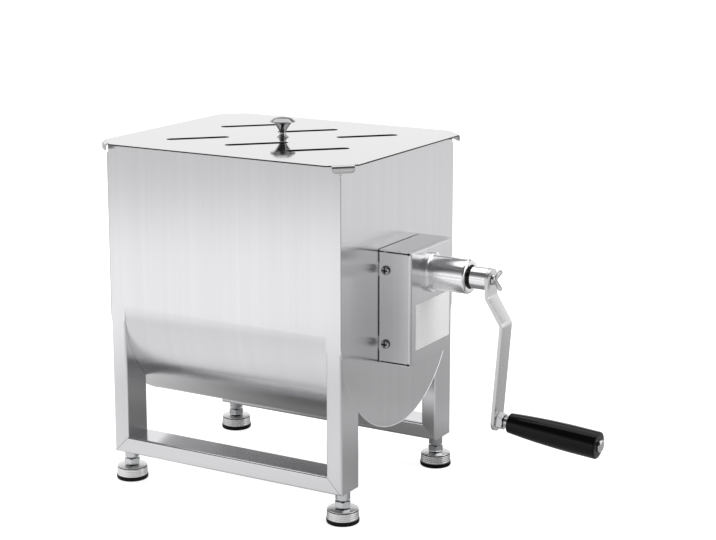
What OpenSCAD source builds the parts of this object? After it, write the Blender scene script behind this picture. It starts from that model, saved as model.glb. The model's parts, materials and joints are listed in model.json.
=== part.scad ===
// Hand-cranked meat mixer: a round-bottomed sheet-metal tank on a tube frame, with a
// lift-off lid and a gearbox on its right end that turns the paddles from a crank.
// X runs along the shafts with the crank at +X, Y to the back and Z up.
// The origin lies on the floor, midway between the four feet.

/* [Tank] */
// Outside length of the tank along the shafts
tank_w = 238; // [220:1:280]
// Outside depth of the tank, which is also the width of its round bottom
tank_d = 200; // [190:1:230]
// Height of the tank's rim above the floor
rim_z = 309.6; // [285:0.2:350]
// Height of the trough's axis above the floor
axis_z = 165; // [160:0.5:177]
// Thickness of the bent trough sheet
sheet_t = 1.2; // [0.8:0.1:2]
// Thickness of the two end plates
end_t = 1.5; // [1:0.1:2.5]
// Height of the hem folded in along the rim
hem_h = 8; // [4:0.5:12]

/* [Frame] */
// Thickness of a frame tube, seen from the front
tube_w = 15; // [14:0.5:20]
// Depth of a frame tube, front to back
tube_d = 30; // [26:0.5:38]
// Wall of a frame tube
tube_t = 1.2; // [0.8:0.1:1.8]
// Outside corner radius of a frame tube
tube_r = 2.2; // [2:0.1:3]
// Seam between a leg's coped top and the trough
cope_gap = 0.1; // [0.05:0.05:0.4]
// Thickness at which a leg's coped tip is cut off
cope_tip = 0.8; // [0.5:0.1:1]

/* [Feet] */
// Outside diameter of the threaded socket under a leg
socket_d = 12.6; // [11:0.2:14]
// Height of the threaded socket
socket_h = 7.4; // [4:0.1:9]
// Thread diameter of a foot's stud
stud_d = 8; // [6:0.5:9]
// Length of a foot's stud above its hexagon
stud_l = 40; // [30:1:50]
// Width across the flats of a foot's hexagon
foot_hex = 13; // [12:0.5:15]
// Height of a foot's hexagon
foot_hex_h = 7; // [5:0.1:9]
// Gap between a foot's hexagon and the socket above it
foot_gap = 0.8; // [0.4:0.1:2]
// Diameter of a foot's steel cup
cup_d = 27.8; // [24:0.2:34]
// Height of a foot's steel cup
cup_h = 9.2; // [8:0.2:14]
// Diameter of a foot's rubber pad
pad_d = 28.6; // [25:0.2:35]
// Height of a foot's rubber pad
pad_h = 3.8; // [3:0.1:6]

/* [Lid] */
// Thickness of the lid sheet
lid_t = 1.2; // [0.8:0.1:2]
// How far the lid overhangs each end of the tank
lid_over_x = 11; // [8:0.5:14]
// How far the lid overhangs the front and the back
lid_over_y = 8.5; // [6:0.5:12]
// How far each corner of the lid is cut back along both edges
lid_corner = 20; // [17:0.5:22]
// Length of the flap that is folded down at each corner
flap_l = 6; // [5:0.5:8]
// Lean of a corner flap outwards from upright, in degrees
flap_lean = 20; // [10:1:40]
// Corner radius of a flap
flap_r = 3.5; // [2:0.5:4.5]
// Length of a slot in the lid
slot_l = 56; // [40:1:60]
// Width of a slot in the lid
slot_w = 9.5; // [5:0.5:11]
// Distance between neighbouring slots of a row
slot_pitch = 62; // [58:1:66]
// Distance of each row of slots from the lid's middle
slot_row = 42.5; // [34:0.5:50]
// Diameter of the lid knob's cap
knob_d = 23; // [18:0.5:30]
// Height of the lid knob
knob_h = 19; // [16:0.5:24]
// Diameter of the lid knob's neck
knob_neck_d = 5.6; // [5.4:0.2:8]
// Diameter of the lid knob's foot
knob_foot_d = 12; // [9:0.5:14]
// Thread diameter of the screw that holds the knob
knob_screw_d = 4; // [3:0.5:4]

/* [Gearbox] */
// Width of the gearbox cover, front to back
cover_w = 74; // [72:0.5:84]
// Height of the gearbox cover
cover_h = 100.2; // [98:0.2:110]
// Depth of the gearbox cover, out from the tank
cover_out = 31.2; // [30:0.2:36]
// How far the cover reaches below the paddle axis
cover_drop = 35.4; // [33:0.2:38]
// Thickness of the cover sheet
cover_t = 1.2; // [0.8:0.1:1.6]
// Outside radius of the cover's bends
cover_r = 2.2; // [2:0.1:4]
// Open seam where two folded sides of the cover meet
cover_seam = 1.2; // [0.3:0.1:1.6]
// Gap between the cover's edges and the tank
cover_stand = 0.8; // [0.2:0.1:1.4]
// Height of each cover screw above or below the middle of the cover
cover_screw_dz = 32.4; // [30:0.2:34]
// Distance of the cover screws from the tank
cover_screw_out = 7; // [6:0.2:10]
// Diameter of a screw's pan head
screw_head_d = 8; // [7:0.2:9]
// Thread diameter of the screws in the gearbox
screw_d = 4; // [3:0.5:5]
// Gear module
gear_module = 1.5; // [1.4:0.05:1.55]
// Number of teeth on the crank's pinion
pinion_teeth = 17; // [17:1:19]
// Number of teeth on the paddle's gear
gear_teeth = 38; // [36:1:39]
// Play between meshing teeth along the pitch circle
backlash = 0.2; // [0.1:0.05:0.35]
// Face width of the paddle's gear
gear_face = 10; // [8:0.5:11]
// Thickness of the bearing plate inside the gearbox
plate_t = 3; // [2:0.5:4]
// Diameter of the posts that carry the bearing plate
post_d = 8; // [7:0.5:9]
// Diameter of the bearing housing
housing_d = 30; // [28:0.5:34]
// How far the bearing housing stands out of the cover
housing_out = 38; // [30:0.2:46]
// Diameter of the collar round the housing
collar_d = 34.6; // [34:0.2:40]
// Width of the collar round the housing
collar_w = 4; // [2:0.5:6]

/* [Crank] */
// Diameter of the crank shaft
shaft_d = 12; // [10:0.5:14]
// Diameter of the crank's hub
hub_d = 19.5; // [18:0.5:24]
// Length of the crank's hub
hub_l = 15.4; // [12:0.2:20]
// Distance from the crank axis to the grip
crank_reach = 122.4; // [110:0.2:140]
// Width of the crank's flat bar
arm_w = 19; // [15:0.5:22]
// Thickness of the crank's flat bar
arm_t = 3; // [2.5:0.25:5]
// Distance of the bar's first bend below the crank axis
bend_top = 14.6; // [13.4:0.2:19]
// Distance of the bar's second bend below the crank axis
bend_low = 37.2; // [34:0.2:44]
// How far the bar's lower part stands out past its upper part
arm_step = 14.3; // [10:0.5:18]
// Lean of the bar's lower part back towards the tank, in degrees
arm_lean = 4.6; // [0:0.2:7]
// Inside radius of the bar's bends
arm_bend_r = 5; // [2:0.5:6]
// Length of the grip
grip_l = 82.5; // [70:0.5:95]
// Diameter of the grip at its inner end
grip_small_d = 17.4; // [15:0.2:19]
// Diameter of the grip at its outer end
grip_large_d = 23.4; // [20:0.2:28]
// Diameter of the spindle that the grip turns on
grip_rod_d = 8; // [6:0.5:9]
// Width across the flats of the nut behind the grip
grip_nut_af = 13; // [12:0.5:15]
// Height of the nut behind the grip
grip_nut_h = 6.4; // [5:0.2:8]
// Thread diameter of the thumb screw
thumb_d = 5; // [4:0.5:6]
// Length of the thumb screw's thread
thumb_l = 14; // [12:0.5:18]
// Distance between the tips of the thumb screw's wings
wing_span = 17; // [15:0.5:22]

/* [Paddle] */
// Diameter of the drive spindle where it passes the end plate
spindle_d = 16; // [14:0.5:17]
// Diameter of the paddle shaft
paddle_d = 18; // [16.5:0.5:22]
// Side of the square drive between spindle and paddle shaft
drive_sq = 10; // [8:0.5:11]
// Length of the square drive
drive_l = 14; // [10:0.5:18]
// Diameter of the journals at both ends of the paddle
journal_d = 10; // [8:0.5:11]
// Thread diameter of the bearing pin at the left end
pin_d = 12; // [11.5:0.5:14]
// Diameter of a paddle arm
paddle_arm_d = 10; // [8:0.5:12]
// Distance between neighbouring paddle arms along the shaft
paddle_pitch = 52; // [46:1:54]
// Radius that the blades' tips reach
blade_tip = 92; // [84:0.5:92]
// Width of a mixing blade
blade_w = 46; // [36:1:50]
// Radial height of a mixing blade
blade_h = 46; // [36:1:54]
// Thickness of a mixing blade
blade_t = 3; // [2:0.5:4]
// Turn of the blades against the shaft, in degrees
blade_pitch = 45; // [20:1:60]

/* [Hidden] */
$fn = 64;
// Radial clearance of a shaft that turns in a bush
run_fit = 0.05;
// Radial clearance between pieces that are fixed together
seat_fit = 0.02;
// Clearance between faces that pass or meet without rubbing
face_gap = 0.3;
// Length by which a cutting shape passes the face that it cuts
cut = 1;

tank_r = tank_d / 2;
wall_x = tank_w / 2;
inner_x = wall_x - end_t;

frame_z = pad_h + cup_h + foot_hex_h + foot_gap + socket_h;
leg_x = wall_x - tube_w / 2;
leg_y = tank_r - tube_d / 2;
cope_r = tank_r + cope_gap;
leg_top = axis_z - sqrt(cope_r * cope_r - pow(tank_r - cope_tip, 2));
tube_inner_r = max(tube_r - tube_t, 0.2);

lid_x = wall_x + lid_over_x;
lid_y = tank_r + lid_over_y;
// Room between the tank's corner and the fold of a corner flap
flap_room = lid_t / 2 + face_gap;
flap_w = 0.97 * lid_corner;
// The tank's upper corners are cut back by this much, so that the flaps clear them
corner_relief = max(lid_corner - lid_over_x - lid_over_y + sqrt(2) * flap_room, 0.2);
corner_relief_h = flap_l + lid_t;
lid_top = rim_z + lid_t;
knob_base_h = 0.7;
knob_rim_h = 0.7;
knob_neck_z = 0.26 * knob_h;
knob_bell_z = 0.7 * knob_h;
knob_rim_z = 0.76 * knob_h;
knob_crown_z = 0.92 * knob_h;
knob_screw_l = 0.55 * knob_h;

cover_x = wall_x + cover_out;
cover_bottom = axis_z - cover_drop;
cover_top = cover_bottom + cover_h;
cover_mid = (cover_bottom + cover_top) / 2;
cover_side = cover_w / 2 - cover_t;
relief_d = 2.4;
screw_x = wall_x + cover_screw_out;
screw_head_h = 2.8;
bracket_t = 2;
bracket_h = 12;
bracket_foot = 9;
bracket_out = 2 * cover_screw_out;

pitch_pinion = gear_module * pinion_teeth / 2;
pitch_gear = gear_module * gear_teeth / 2;
crank_z = axis_z + pitch_pinion + pitch_gear;
gear_x = wall_x + 5;
gear_end = gear_x + gear_face;
pinion_over = 1;
plate_x = gear_end + pinion_over + 1.8;
plate_end = plate_x + plate_t;
plate_gap = 1.1;
plate_y = cover_side - bracket_t - plate_gap;
plate_bottom = cover_bottom + cover_t + plate_gap;
plate_top = cover_top - cover_t - plate_gap;
post_inset = 5.2;
// Solid end of a post, below its threaded hole
post_floor = 4;
plate_screw_l = plate_t + 0.6 * (plate_x - wall_x - post_floor);
post_y = plate_y - post_inset;
post_low = plate_bottom + post_inset;
post_high = plate_top - post_inset;

housing_end = cover_x + housing_out;
housing_bore = shaft_d + 9;
bush_l = 14;
seal_w = 4;
seal_recess = 0.6;

hub_x = housing_end + 2.1;
arm_x = hub_x + hub_l;
arm_front = arm_x + arm_t;
hub_web = 2;
shaft_x = wall_x + 2.5;
shaft_end = arm_x - hub_web - face_gap;
grip_x = arm_x + arm_t / 2 + arm_step - (crank_reach - bend_low) * tan(arm_lean);
grip_z = crank_z - crank_reach;
grip_start = arm_t / 2 + grip_nut_h + 4;
grip_end = grip_start + grip_l;
rod_head_d = 1.35 * grip_rod_d;
rod_head_h = 2.6;
thumb_boss_h = 2.6;
wing_t = 2.4;
wing_w = 3.2;

wall_bush_d = spindle_d + 6;
wall_flange_w = 5;
wall_flange_d = wall_bush_d + 2 * wall_flange_w;
wall_flange_t = 2.5;
wall_seal_d = spindle_d + 9;
wall_seal_w = 4;
spindle_x = inner_x - wall_seal_w - 1;
gear_seat_d = spindle_d - 2;
spindle_bush_d = journal_d + 6;
spindle_bush_l = plate_t + 3;
paddle_right = spindle_x - face_gap;
paddle_left = -inner_x + 4;
pin_shoulder = paddle_left - face_gap;
boss_d = 2 * pin_d;
boss_l = 10;
pin_nut_af = 1.5 * pin_d;
pin_nut_h = 8;
pin_end = -wall_x - boss_l - pin_nut_h - 3;
// The arm reaches this far into the slot that holds its blade
blade_socket = 10;
paddle_rest = 45;

CORNERS = [["front_left", -1, -1], ["front_right", 1, -1], ["rear_left", -1, 1], ["rear_right", 1, 1]];
FOOT_PIECES = ["stud", "cup", "pad"];
FIXED_NODES = [
    "trough", "left_end_plate", "right_end_plate", "front_rail", "rear_rail", "foot_sockets",
    "gearbox_cover", "cover_screws", "cover_brackets", "bearing_plate", "plate_posts", "plate_screws",
    "bearing_housing", "housing_collar", "crank_bushes", "crank_seal",
    "wall_bush", "wall_seal", "spindle_bush", "pin_boss", "bearing_pin", "pin_lock_nut"
];
MOVING_NODES = [
    "drive_gear", "drive_spindle", "paddle_shaft", "paddle_arms", "mixing_blades",
    "crank_shaft", "pinion", "crank_hub", "crank_arm", "grip_spindle", "grip_nut", "thumb_screw", "grip",
    "lid", "lid_knob", "knob_screw"
];
LEG_NODES = [for (c = CORNERS) str(c[0], "_leg")];
FOOT_NODES = [for (c = CORNERS) for (p = FOOT_PIECES) str(c[0], "_", p)];

// Shared shapes

// A flat outline in Y and Z, drawn out along X
module along_x(from, to) {
    translate([from, 0, 0]) rotate([90, 0, 90]) linear_extrude(to - from) children();
}

// A flat outline in X and Z, drawn out along Y
module along_y(from, to) {
    translate([0, to, 0]) rotate([90, 0, 0]) linear_extrude(to - from) children();
}

module rod_x(d, from, to, y = 0, z = 0) {
    translate([from, y, z]) rotate([0, 90, 0]) cylinder(d = d, h = to - from);
}

module ring_x(d, bore, from, to, y = 0, z = 0) {
    difference() {
        rod_x(d, from, to, y, z);
        rod_x(bore, from - cut, to + cut, y, z);
    }
}

module round_rect(w, h, r) {
    square([w - 2 * r, h], center = true);
    square([w, h - 2 * r], center = true);
    for (x = [-1, 1], y = [-1, 1]) translate([x * (w / 2 - r), y * (h / 2 - r)]) circle(r);
}

module tube_section(w, h) {
    difference() {
        round_rect(w, h, tube_r);
        round_rect(w - 2 * tube_t, h - 2 * tube_t, tube_inner_r);
    }
}

module hexagon(af) {
    circle(d = af / cos(30), $fn = 6);
}

// A pan-head screw along +Z, with its head above the origin and a cross recess in it
module pan_screw(d, head_d, head_h, length) {
    recess_w = 0.16 * head_d;
    recess_l = 0.6 * head_d;
    difference() {
        union() {
            translate([0, 0, -length]) cylinder(d = d, h = length + head_h / 2);
            rotate_extrude() pan_profile(head_d, head_h);
        }
        for (a = [0, 90]) rotate(a) translate([-recess_l / 2, -recess_w / 2, head_h / 2])
            cube([recess_l, recess_w, head_h]);
    }
}

module pan_profile(d, h) {
    edge = 0.45 * h;
    square([d / 2, edge]);
    square([d / 2 - h + edge, h]);
    intersection() {
        translate([d / 2 - h + edge, edge]) circle(h - edge);
        square([d / 2, h]);
    }
}

function turned(v, a) = [v[0] * cos(a) - v[1] * sin(a), v[0] * sin(a) + v[1] * cos(a)];
function unit(v) = v / norm(v);
function curve(a, b, c, steps) = [
    for (i = [0 : steps]) let (t = i / steps) (1 - t) * (1 - t) * a + 2 * t * (1 - t) * b + t * t * c
];

// Involute gear teeth

pressure = 20;
flank_steps = 5;
function involute(a) = tan(a) * 180 / PI - a;
function tooth_angle(r, n) = let (base = gear_module * n / 2 * cos(pressure))
    (90 - 90 * backlash / (PI * gear_module)) / n + involute(pressure) - involute(acos(min(1, base / r)));
function flank_radii(n) = let (
    pitch = gear_module * n / 2,
    base = max(pitch * cos(pressure), pitch - 1.2 * gear_module),
    tip = pitch + gear_module
) concat([pitch - 1.25 * gear_module], [for (i = [0 : flank_steps]) base + (tip - base) * i / flank_steps]);
function tooth(n) = let (radii = flank_radii(n), last = len(radii) - 1) concat(
    [for (i = [0 : last]) let (a = 90 + tooth_angle(radii[i], n)) radii[i] * [cos(a), sin(a)]],
    [for (i = [0 : last]) let (r = radii[last - i], a = 90 - tooth_angle(r, n)) r * [cos(a), sin(a)]]
);
// Teeth follow one another clockwise from the tooth that points up
function gear_outline(n) = let (one = tooth(n))
    [for (k = [0 : n - 1]) for (p = one) turned(p, -k * 360 / n)];

// Tank

module tank_outline(inset, top) {
    translate([0, axis_z]) circle(tank_r - inset);
    translate([inset - tank_r, axis_z]) square([tank_d - 2 * inset, top - axis_z]);
}

// The four upper corners that are cut back for the lid's flaps
module corner_reliefs() {
    for (x = [-1, 1], y = [-1, 1]) translate([x * wall_x, y * tank_r, rim_z - corner_relief_h])
        linear_extrude(corner_relief_h + cut) rotate(45) square(sqrt(2) * corner_relief, center = true);
}

module trough() {
    mouth = tank_r - 2 * sheet_t;
    color("silver") difference() {
        along_x(-inner_x, inner_x) difference() {
            tank_outline(0, rim_z);
            tank_outline(sheet_t, rim_z - hem_h);
            translate([-mouth, axis_z]) square([2 * mouth, rim_z + cut - axis_z]);
        }
        corner_reliefs();
    }
}

// An end plate at +X with its folded hem and a hole on the paddle axis
module end_plate(hole_d) {
    hem_y = tank_r - 2 * sheet_t;
    difference() {
        along_x(inner_x, wall_x) difference() {
            tank_outline(0, rim_z);
            translate([0, axis_z]) circle(d = hole_d);
        }
        corner_reliefs();
    }
    translate([inner_x - sheet_t, -hem_y, rim_z - hem_h]) cube([sheet_t, 2 * hem_y, hem_h]);
}

module left_end_plate() {
    color("silver") mirror([1, 0, 0]) end_plate(pin_d + 2 * run_fit);
}

module right_end_plate() {
    color("silver") end_plate(wall_bush_d + 2 * seat_fit);
}

// Frame

// A leg at +X and +Y: mitred to its rail below and coped to the trough above
module leg() {
    low = [wall_x + cut, frame_z - cut];
    inner = [wall_x - tube_w - cut, frame_z + tube_w + cut];
    difference() {
        intersection() {
            translate([leg_x, leg_y, 0]) linear_extrude(rim_z) tube_section(tube_w, tube_d);
            along_y(tank_r - tube_d - cut, tank_r + cut)
                polygon([low, inner, [inner[0], leg_top], [low[0], leg_top]]);
        }
        rod_x(2 * cope_r, inner[0], low[0], 0, axis_z);
    }
}

module corner_leg(c) {
    color("silver") mirror([c[1] < 0 ? 1 : 0, 0, 0]) mirror([0, c[2] < 0 ? 1 : 0, 0]) leg();
}

// The rail at +Y, with a hole for each foot's stud
module rail() {
    low = wall_x + cut;
    high = wall_x - tube_w - cut;
    difference() {
        intersection() {
            translate([0, leg_y, frame_z + tube_w / 2]) along_x(-wall_x, wall_x)
                tube_section(tube_d, tube_w);
            along_y(tank_r - tube_d - cut, tank_r + cut) polygon([
                [-low, frame_z - cut], [low, frame_z - cut],
                [high, frame_z + tube_w + cut], [-high, frame_z + tube_w + cut]
            ]);
        }
        for (side = [-1, 1]) translate([side * leg_x, leg_y, frame_z - cut])
            cylinder(d = stud_d + 1, h = tube_t + 2 * cut);
    }
}

module rear_rail() {
    color("silver") rail();
}

module front_rail() {
    color("silver") mirror([0, 1, 0]) rail();
}

module foot_sockets() {
    color("lightgray") for (c = CORNERS) translate([c[1] * leg_x, c[2] * leg_y, frame_z - socket_h])
        difference() {
            cylinder(d = socket_d, h = socket_h);
            translate([0, 0, -cut]) cylinder(d = stud_d + 2 * run_fit, h = socket_h + 2 * cut);
        }
}

// Feet

module at_foot(c) {
    translate([c[1] * leg_x, c[2] * leg_y, 0]) children();
}

module foot_pad(c) {
    edge = pad_h / 3;
    color("black") at_foot(c) {
        cylinder(d1 = pad_d - 2 * edge, d2 = pad_d, h = edge);
        translate([0, 0, edge]) cylinder(d = pad_d, h = pad_h - edge);
    }
}

module foot_cup(c) {
    crown = 0.12 * cup_h;
    rim_d = 0.965 * cup_d;
    shoulder = foot_hex / cos(30) + 1;
    color("gainsboro") at_foot(c) translate([0, 0, pad_h]) {
        cylinder(d1 = cup_d, d2 = rim_d, h = cup_h - crown);
        translate([0, 0, cup_h - crown]) cylinder(d1 = rim_d, d2 = shoulder, h = crown);
    }
}

module foot_stud(c) {
    color("gainsboro") at_foot(c) translate([0, 0, pad_h + cup_h]) {
        linear_extrude(foot_hex_h) hexagon(foot_hex);
        cylinder(d = stud_d, h = foot_hex_h + stud_l);
    }
}

// Lid

module lid_slot() {
    straight = slot_l - slot_w;
    square([straight, slot_w], center = true);
    for (side = [-1, 1]) translate([side * straight / 2, 0]) circle(d = slot_w);
}

module lid_outline() {
    difference() {
        square([2 * lid_x, 2 * lid_y], center = true);
        for (x = [-1, 1], y = [-1, 1]) translate([x * lid_x, y * lid_y]) rotate(45)
            square(sqrt(2) * lid_corner, center = true);
        for (k = [-1 : 1], row = [-1, 1]) translate([k * slot_pitch, row * slot_row]) rotate(45) lid_slot();
        circle(d = knob_screw_d + 2 * run_fit);
    }
}

// The flap at the corner +X, +Y, hung from its fold line
module corner_flap() {
    fold = [lid_x - lid_corner / 2, lid_y - lid_corner / 2, rim_z + lid_t / 2];
    translate(fold) rotate([0, 0, -45]) {
        rotate([0, 90, 0]) cylinder(d = lid_t, h = flap_w, center = true);
        rotate([flap_lean - 90, 0, 0]) translate([0, 0, -lid_t / 2]) linear_extrude(lid_t) flap_outline();
    }
}

module flap_outline() {
    translate([-flap_w / 2, 0]) square([flap_w, flap_l - flap_r]);
    translate([flap_r - flap_w / 2, 0]) square([flap_w - 2 * flap_r, flap_l]);
    for (side = [-1, 1]) translate([side * (flap_w / 2 - flap_r), flap_l - flap_r]) circle(flap_r);
}

module lid() {
    color("whitesmoke") {
        translate([0, 0, rim_z]) linear_extrude(lid_t) lid_outline();
        for (x = [0, 1], y = [0, 1]) mirror([x, 0, 0]) mirror([0, y, 0]) corner_flap();
    }
}

module knob_profile() {
    foot = knob_foot_d / 2;
    neck = knob_neck_d / 2;
    cap = knob_d / 2;
    shoulder = knob_rim_z + knob_rim_h;
    bell_r = 0.68 * cap;
    crown_r = 0.7 * cap;
    flare = curve([foot, knob_base_h], [neck, knob_base_h + 1.5], [neck, knob_neck_z], 6);
    bell = curve([neck, knob_neck_z], [neck + 0.8, knob_neck_z + 3], [bell_r, knob_bell_z], 8);
    dome = curve([crown_r, knob_crown_z], [0.7 * crown_r, knob_h], [0, knob_h], 6);
    polygon(concat([[0, 0], [foot, 0]], flare, bell, [[cap, knob_rim_z], [cap, shoulder]], dome));
}

module lid_knob() {
    color("gainsboro") translate([0, 0, lid_top]) difference() {
        rotate_extrude() knob_profile();
        translate([0, 0, -cut]) cylinder(d = knob_screw_d + 2 * seat_fit, h = cut + knob_screw_l);
    }
}

module knob_screw() {
    color("gainsboro") translate([0, 0, rim_z]) mirror([0, 0, 1])
        pan_screw(knob_screw_d, 2 * knob_screw_d, screw_head_h, lid_t + knob_screw_l - face_gap);
}

// Gearbox casing

// A folded sheet's outline: square at the tank and bent at its two outer corners
module bent_outline(out, width, r) {
    translate([0, -width / 2]) square([out - r, width]);
    translate([0, r - width / 2]) square([out, width - 2 * r]);
    for (side = [-1, 1]) translate([out - r, side * (width / 2 - r)]) circle(r);
}

module cover_block(inset, back) {
    out = cover_out - inset + back;
    r = cover_r - inset;
    translate([wall_x - back, 0, 0]) intersection() {
        translate([0, 0, cover_bottom]) linear_extrude(cover_h) bent_outline(out, cover_w - 2 * inset, r);
        along_y(-cover_w, cover_w) translate([0, cover_mid]) bent_outline(out, cover_h - 2 * inset, r);
    }
}

// The open seams of the cover at +Y: between the side and the top, and the side and the bottom
module cover_seams() {
    seam_l = cover_out - cover_r;
    for (up = [0, 1]) translate([wall_x, 0, cover_mid]) mirror([0, 0, up]) {
        translate([-cut, cover_side, cover_h / 2 - cover_t - cover_seam])
            cube([seam_l + cut, cover_t + cut, cover_seam]);
        translate([seam_l, cover_side - cut, cover_h / 2 - cover_t - cover_seam / 2]) rotate([-90, 0, 0])
            cylinder(d = relief_d, h = cover_t + 2 * cut);
    }
}

module gearbox_cover() {
    color("silver") difference() {
        cover_block(0, 0);
        cover_block(cover_t, cut);
        translate([wall_x - cut, -cover_w, cover_bottom - cut])
            cube([cut + cover_stand, 2 * cover_w, cover_h + 2 * cut]);
        rod_x(housing_d + 2 * face_gap, cover_x - cover_r, cover_x + cut, 0, crank_z);
        for (side = [0, 1]) mirror([0, side, 0]) {
            cover_seams();
            at_cover_screws() cylinder(d = screw_d + 2 * face_gap, h = 4 * cover_t, center = true);
        }
    }
}

// Both screw places on the cover's side at +Y, with +Z pointing out of the cover
module at_cover_screws() {
    for (up = [-1, 1]) translate([screw_x, cover_w / 2, cover_mid + up * cover_screw_dz]) rotate([-90, 0, 0])
        children();
}

module cover_screws() {
    color("gainsboro") for (side = [0, 1]) mirror([0, side, 0])
        at_cover_screws() pan_screw(screw_d, screw_head_d, screw_head_h, cover_t + bracket_t + 2);
}

// Angles on the end plate that take the cover screws
module cover_brackets() {
    color("silver") for (side = [0, 1], up = [-1, 1]) mirror([0, side, 0])
        translate([wall_x, cover_side, cover_mid + up * cover_screw_dz - bracket_h / 2]) difference() {
            union() {
                translate([0, -bracket_t, 0]) cube([bracket_out, bracket_t, bracket_h]);
                translate([0, -bracket_foot, 0]) cube([bracket_t, bracket_foot, bracket_h]);
            }
            translate([cover_screw_out, 0, bracket_h / 2]) rotate([90, 0, 0])
                cylinder(d = screw_d + 2 * seat_fit, h = 4 * bracket_t, center = true);
        }
}

// Bearings

module at_posts() {
    for (y = [-1, 1], z = [post_low, post_high]) translate([0, y * post_y, z]) rotate([0, 90, 0]) children();
}

module plate_posts() {
    color("silver") difference() {
        at_posts() translate([0, 0, wall_x]) cylinder(d = post_d, h = plate_x - wall_x);
        at_posts() translate([0, 0, wall_x + post_floor])
            cylinder(d = screw_d + 2 * seat_fit, h = plate_x - wall_x);
    }
}

module plate_screws() {
    color("gainsboro") at_posts() translate([0, 0, plate_end])
        pan_screw(screw_d, screw_head_d, screw_head_h, plate_screw_l);
}

module bearing_plate() {
    corner = 4;
    color("silver") difference() {
        translate([0, 0, (plate_bottom + plate_top) / 2]) along_x(plate_x, plate_end)
            round_rect(2 * plate_y, plate_top - plate_bottom, corner);
        rod_x(spindle_bush_d + 2 * seat_fit, plate_x - cut, plate_end + cut, 0, axis_z);
        rod_x(shaft_d + 2, plate_x - cut, plate_end + cut, 0, crank_z);
        at_posts() translate([0, 0, plate_x - cut])
            cylinder(d = screw_d + 2 * face_gap, h = plate_t + 2 * cut);
    }
}

module bearing_housing() {
    nose = 2.2;
    color("gainsboro") translate([plate_end, 0, crank_z]) rotate([0, 90, 0]) rotate_extrude() {
        translate([housing_bore / 2, 0])
            square([(housing_d - housing_bore) / 2, housing_end - plate_end - nose]);
        translate([housing_bore / 2, 0])
            square([(housing_d - housing_bore) / 2 - nose, housing_end - plate_end]);
        intersection() {
            translate([housing_d / 2 - nose, housing_end - plate_end - nose]) circle(nose);
            translate([housing_bore / 2, 0]) square([housing_d, housing_end]);
        }
    }
}

module housing_collar() {
    edge = 1;
    bore = housing_d + 2 * seat_fit;
    color("gainsboro") difference() {
        union() {
            rod_x(collar_d, cover_x, cover_x + collar_w - edge, 0, crank_z);
            translate([cover_x + collar_w - edge, 0, crank_z]) rotate([0, 90, 0])
                cylinder(d1 = collar_d, d2 = collar_d - 2 * edge, h = edge);
        }
        rod_x(bore, cover_x - cut, cover_x + collar_w + cut, 0, crank_z);
    }
}

module crank_bushes() {
    outer_end = housing_end - seal_recess - seal_w - face_gap;
    color("darkgoldenrod") for (from = [plate_end, outer_end - bush_l])
        ring_x(housing_bore - 2 * seat_fit, shaft_d + 2 * run_fit, from, from + bush_l, 0, crank_z);
}

module crank_seal() {
    to = housing_end - seal_recess;
    color("black") ring_x(housing_bore - 2 * seat_fit, shaft_d + 4 * run_fit, to - seal_w, to, 0, crank_z);
}

module wall_bush() {
    bore = spindle_d + 2 * run_fit;
    color("darkgoldenrod") {
        ring_x(wall_bush_d, bore, inner_x, wall_x + wall_flange_t, 0, axis_z);
        ring_x(wall_flange_d, wall_bush_d, wall_x, wall_x + wall_flange_t, 0, axis_z);
    }
}

module wall_seal() {
    color("black") ring_x(wall_seal_d, spindle_d + 4 * run_fit, inner_x - wall_seal_w, inner_x, 0, axis_z);
}

module spindle_bush() {
    color("darkgoldenrod") ring_x(spindle_bush_d, journal_d + 2 * run_fit,
        plate_x, plate_x + spindle_bush_l, 0, axis_z);
}

// Left bearing

module pin_boss() {
    color("silver") ring_x(boss_d, pin_d + 2 * run_fit, -wall_x - boss_l, -wall_x, 0, axis_z);
}

module bearing_pin() {
    key = pin_d / 2;
    color("gainsboro") difference() {
        union() {
            rod_x(pin_d, pin_end, pin_shoulder, 0, axis_z);
            rod_x(journal_d, pin_shoulder - cut, paddle_left + drive_l, 0, axis_z);
        }
        translate([0, 0, axis_z]) along_x(pin_end - cut, pin_end + key) hexagon(key);
    }
}

module pin_lock_nut() {
    color("gainsboro") difference() {
        translate([0, 0, axis_z]) along_x(-wall_x - boss_l - pin_nut_h, -wall_x - boss_l) hexagon(pin_nut_af);
        rod_x(pin_d + 2 * run_fit, -tank_w, 0, 0, axis_z);
    }
}

// Paddle

module drive_gear() {
    web = 0.2 * gear_face;
    rim_d = 2 * pitch_gear - 6 * gear_module;
    hub = gear_seat_d + 10;
    color("darkgray") difference() {
        translate([0, 0, axis_z]) along_x(gear_x, gear_end) polygon(gear_outline(gear_teeth));
        rod_x(gear_seat_d + 2 * seat_fit, gear_x - cut, gear_end + cut, 0, axis_z);
        for (from = [gear_x - cut, gear_end - web]) ring_x(rim_d, hub, from, from + web + cut, 0, axis_z);
    }
}

module drive_spindle() {
    color("gainsboro") {
        rod_x(spindle_d, spindle_x, gear_x, 0, axis_z);
        rod_x(gear_seat_d, spindle_x, gear_end, 0, axis_z);
        rod_x(journal_d, spindle_x, plate_x + spindle_bush_l, 0, axis_z);
        translate([0, 0, axis_z]) along_x(spindle_x - drive_l, spindle_x + cut)
            square(drive_sq, center = true);
    }
}

module paddle_shaft() {
    color("silver") difference() {
        rod_x(paddle_d, paddle_left, paddle_right, 0, axis_z);
        translate([0, 0, axis_z]) along_x(paddle_right - drive_l, paddle_right + cut)
            square(drive_sq + 2 * run_fit, center = true);
        rod_x(journal_d + 2 * run_fit, paddle_left - cut, paddle_left + drive_l + cut, 0, axis_z);
    }
}

// The four arm places along the shaft, each a quarter turn on from the last, with +Z outwards
module at_paddles() {
    for (k = [0 : 3]) translate([(k - 1.5) * paddle_pitch, 0, axis_z])
        rotate([paddle_rest + 90 * k, 0, 0]) children();
}

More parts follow.
